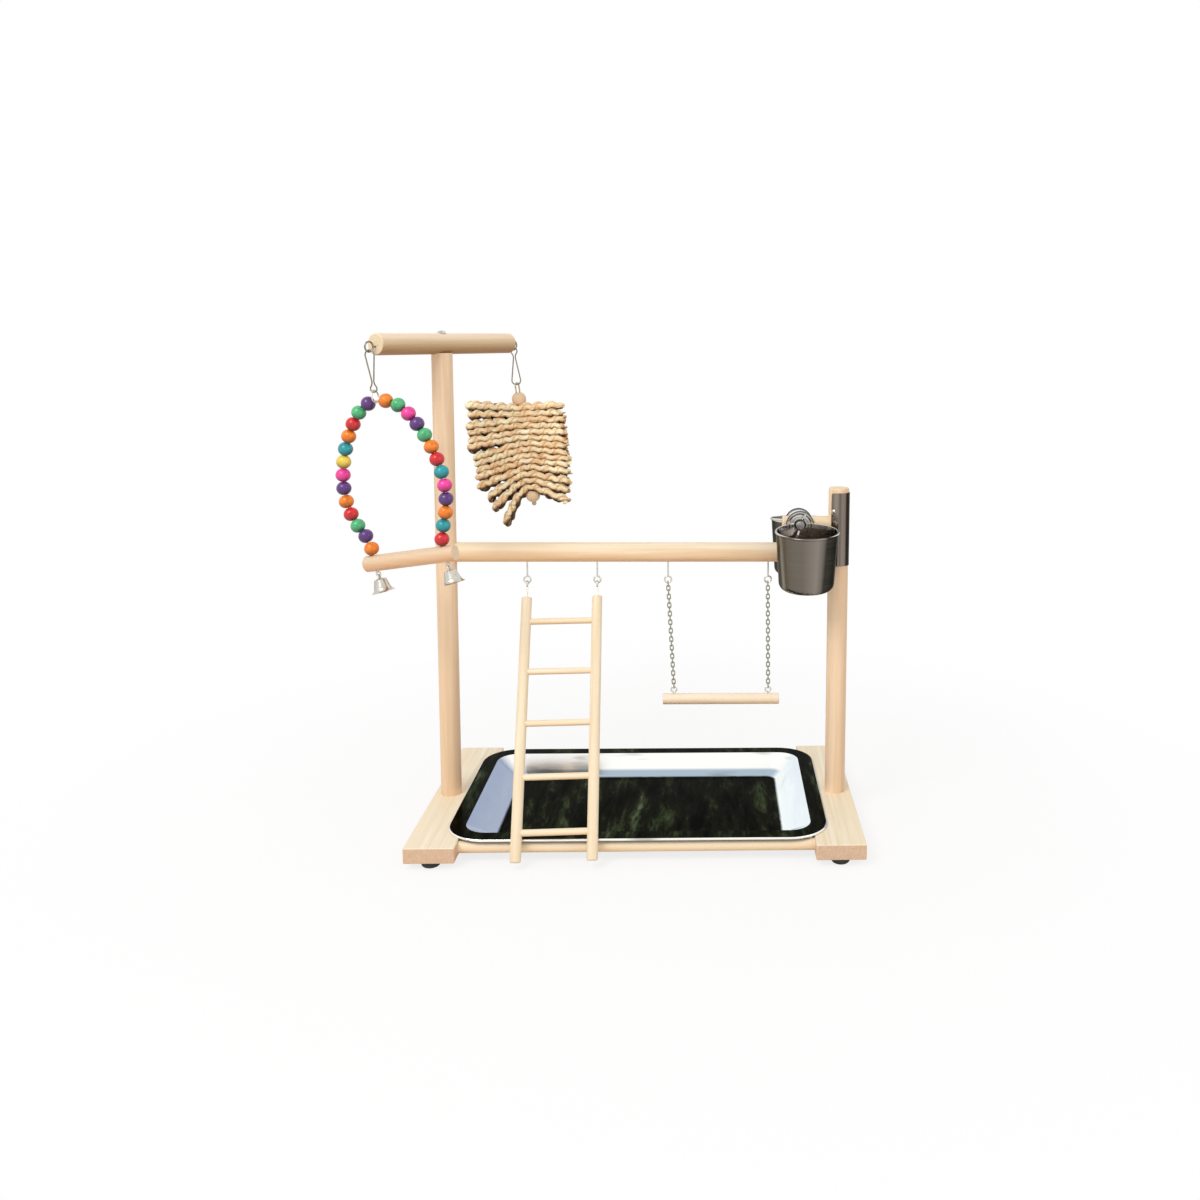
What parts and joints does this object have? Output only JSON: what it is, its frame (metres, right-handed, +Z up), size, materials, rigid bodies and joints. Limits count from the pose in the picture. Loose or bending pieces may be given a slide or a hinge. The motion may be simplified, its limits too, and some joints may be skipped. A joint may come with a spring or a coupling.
{
  "type": "parrot play stand",
  "caption": "Wooden tabletop bird play stand: two posts, perches, hanging bead swing and rope toy, ladder, chain swing, feeding cups and a lift-out steel tray.",
  "frame": {"origin": "centre of the bounding box's bottom face, on the surface that the rubber feet stand on", "axes": "+Z up; +X along the main perch from the T-bar post to the cup post; -Y is the front, where the ladder leans out"},
  "size_m": [0.5294, 0.2876, 0.526],
  "materials": {
    "pale_wood": "sanded, unpainted",
    "peeled_wood": "sanded, unpainted",
    "ladder_wood": "sanded, unpainted",
    "foot_rubber": "matt",
    "zinc_screws": "zinc plated",
    "nickel_wire": "nickel plated",
    "chain": "nickel plated",
    "clamp_steel": "plated",
    "tray_steel": "mirror polished stainless",
    "cup_steel": "polished stainless",
    "guard_steel": "stainless",
    "bell_metal": "nickel plated",
    "husk_rope": "twisted corn husk",
    "cord": "twisted",
    "bead_red": "dyed and glossy",
    "bead_orange": "dyed and glossy",
    "bead_yellow": "dyed and glossy",
    "bead_green": "dyed and glossy",
    "bead_teal": "dyed and glossy",
    "bead_purple": "dyed and glossy",
    "bead_pink": "dyed and glossy"
  },
  "bodies": {
    "stand": {"base_plank_left": "pale_wood", "base_plank_right": "pale_wood", "base_dowel_front": "pale_wood", "base_dowel_back": "pale_wood", "rubber_feet": "foot_rubber", "post_screws": "zinc_screws", "post_left": "peeled_wood", "post_right": "pale_wood", "main_perch": "pale_wood", "perch_screws": "zinc_screws", "ladder_eyes": "nickel_wire", "swing_eyes": "nickel_wire", "cup_arm": "pale_wood", "cup_arm_screw": "zinc_screws", "post_guard": "guard_steel", "guard_screws": "zinc_screws", "t_bar_screw": "zinc_screws", "cup_bolt": "clamp_steel", "dished_washers": "clamp_steel"},
    "tray": {"tray": "tray_steel"},
    "t_bar": {"t_bar": "peeled_wood", "t_bar_eye_front": "nickel_wire", "t_bar_eye_back": "nickel_wire"},
    "clip_front": {"clip_front": "nickel_wire"},
    "bead_swing": {"swing_ring": "nickel_wire", "bead_wire": "nickel_wire", "beads_red": "bead_red", "beads_orange": "bead_orange", "beads_yellow": "bead_yellow", "beads_green": "bead_green", "beads_teal": "bead_teal", "beads_purple": "bead_purple", "beads_pink": "bead_pink", "bead_swing_perch": "pale_wood"},
    "bell_left": {"bell_left": "bell_metal"},
    "clapper_left": {"clapper_left": "bell_metal"},
    "bell_right": {"bell_right": "bell_metal"},
    "clapper_right": {"clapper_right": "bell_metal"},
    "clip_back": {"clip_back": "nickel_wire"},
    "vine_toy": {"toy_cord": "cord", "toy_ball_top": "pale_wood", "toy_ball_bottom": "pale_wood", "vine_ropes_top": "husk_rope", "vine_ropes_upper": "husk_rope", "vine_ropes_lower": "husk_rope", "vine_ropes_bottom": "husk_rope"},
    "ladder": {"ladder_rail_left": "ladder_wood", "ladder_rail_right": "ladder_wood", "ladder_rungs": "ladder_wood", "ladder_hooks": "nickel_wire"},
    "play_swing": {"play_swing_bar": "pale_wood", "play_swing_bar_eyes": "nickel_wire", "swing_chain_left": "chain", "swing_chain_right": "chain"},
    "cup_front": {"cup_front": "cup_steel"},
    "cup_rear": {"cup_rear": "cup_steel"},
    "wing_nut": {"wing_nut": "clamp_steel"}
  },
  "joints": [
    {"name": "tray_lift", "type": "slide", "parent": "stand", "child": "tray", "axis": [0, 0.5003, 0.8659], "range_m": [0, 0.05]},
    {"name": "t_bar_swivel", "type": "hinge", "parent": "stand", "child": "t_bar", "pos_m": [-0.17383, 0.00382, 0.51205], "axis": [0, 0, 1], "range_deg": [-150, 35]},
    {"name": "clip_front_swing", "type": "hinge", "parent": "t_bar", "child": "clip_front", "pos_m": [-0.22577, -0.07929, 0.50655], "axis": [0.9632, -0.2689, 0], "range_deg": [-25, 12]},
    {"name": "bead_swing_sway", "type": "hinge", "parent": "clip_front", "child": "bead_swing", "pos_m": [-0.22194, -0.08036, 0.46876], "axis": [0.2689, 0.9632, 0], "range_deg": [-20, 25]},
    {"name": "bell_left_swing", "type": "hinge", "parent": "bead_swing", "child": "bell_left", "pos_m": [-0.22237, -0.08024, 0.28354], "axis": [0.2689, 0.9632, 0], "range_deg": [-30, 30]},
    {"name": "clapper_left_swing", "type": "hinge", "parent": "bell_left", "child": "clapper_left", "pos_m": [-0.2208, -0.08068, 0.27786], "axis": [0.2689, 0.9632, 0], "range_deg": [-20, 20]},
    {"name": "bell_right_swing", "type": "hinge", "parent": "bead_swing", "child": "bell_right", "pos_m": [-0.14846, -0.10087, 0.29665], "axis": [0.2689, 0.9632, 0], "range_deg": [-30, 30]},
    {"name": "clapper_right_swing", "type": "hinge", "parent": "bell_right", "child": "clapper_right", "pos_m": [-0.1469, -0.10131, 0.29098], "axis": [0.2689, 0.9632, 0], "range_deg": [-20, 20]},
    {"name": "clip_back_swing", "type": "hinge", "parent": "t_bar", "child": "clip_back", "pos_m": [-0.11448, 0.0988, 0.50655], "axis": [1, 0, 0], "range_deg": [-15, 20]},
    {"name": "vine_toy_sway", "type": "hinge", "parent": "clip_back", "child": "vine_toy", "pos_m": [-0.11206, 0.0988, 0.47013], "axis": [0, 1, 0], "range_deg": [-15, 20]},
    {"name": "ladder_swing", "type": "hinge", "parent": "stand", "child": "ladder", "pos_m": [-0.05033, 0.00382, 0.2564], "axis": [1, 0, 0], "range_deg": [-60, 0]},
    {"name": "play_swing_swing", "type": "hinge", "parent": "stand", "child": "play_swing", "pos_m": [0.11727, 0.00382, 0.2564], "axis": [1, 0, 0], "range_deg": [-40, 40]},
    {"name": "cup_front_tilt", "type": "hinge", "parent": "stand", "child": "cup_front", "pos_m": [0.20467, 0.00382, 0.3215], "axis": [0, 1, 0], "range_deg": [-20, 20]},
    {"name": "cup_rear_tilt", "type": "hinge", "parent": "stand", "child": "cup_rear", "pos_m": [0.20467, 0.00382, 0.3215], "axis": [0, 1, 0], "range_deg": [-20, 20]},
    {"name": "wing_nut_turn", "type": "hinge", "parent": "stand", "child": "wing_nut", "pos_m": [0.20466, -0.01118, 0.3215], "axis": [0, 1, 0], "continuous": true}
  ]
}
